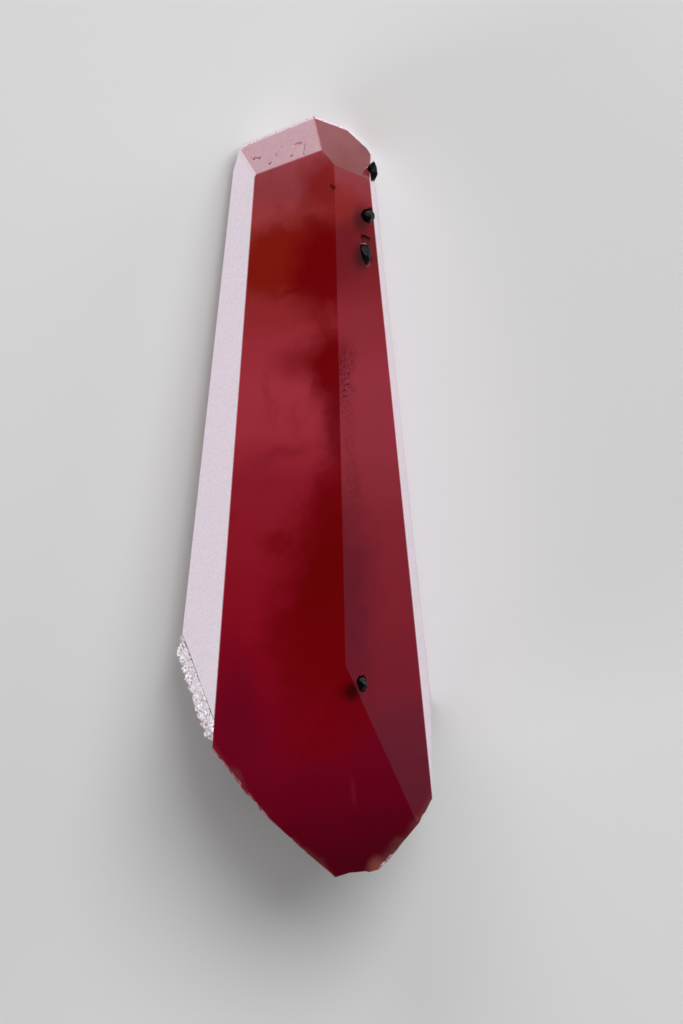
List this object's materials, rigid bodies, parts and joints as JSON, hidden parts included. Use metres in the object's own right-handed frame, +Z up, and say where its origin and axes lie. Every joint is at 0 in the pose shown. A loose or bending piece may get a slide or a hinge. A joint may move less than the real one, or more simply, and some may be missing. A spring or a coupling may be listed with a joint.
{
  "type": "rhodochrosite crystal with quartz",
  "caption": "Steep tapering rhodochrosite crystal, flat-capped at one end and cleaved at the other, lying on a long face, with a patch of quartz crust and small dark crystals.",
  "frame": {"origin": "centre of the specimen's box on the surface that it lies on", "axes": "+Y along the crystal's length, towards its flat-faced cap; +Z up from the long face that it rests on; +X to the side where the dark crystals are"},
  "size_m": [0.0182, 0.0487, 0.0144],
  "materials": {
    "rhodochrosite": "glossy, deep red and cloudy inside, pale lilac where light glances off its side faces",
    "quartz": "white, granular and sparkling",
    "dark_crystal": "black with a metallic glint"
  },
  "bodies": {
    "root": {"rhodochrosite_crystal": "rhodochrosite", "quartz_crust": "quartz", "dark_crystal_edge": "dark_crystal", "dark_crystal_upper": "dark_crystal", "dark_crystal_middle": "dark_crystal", "dark_crystal_lower": "dark_crystal"}
  },
  "joints": []
}
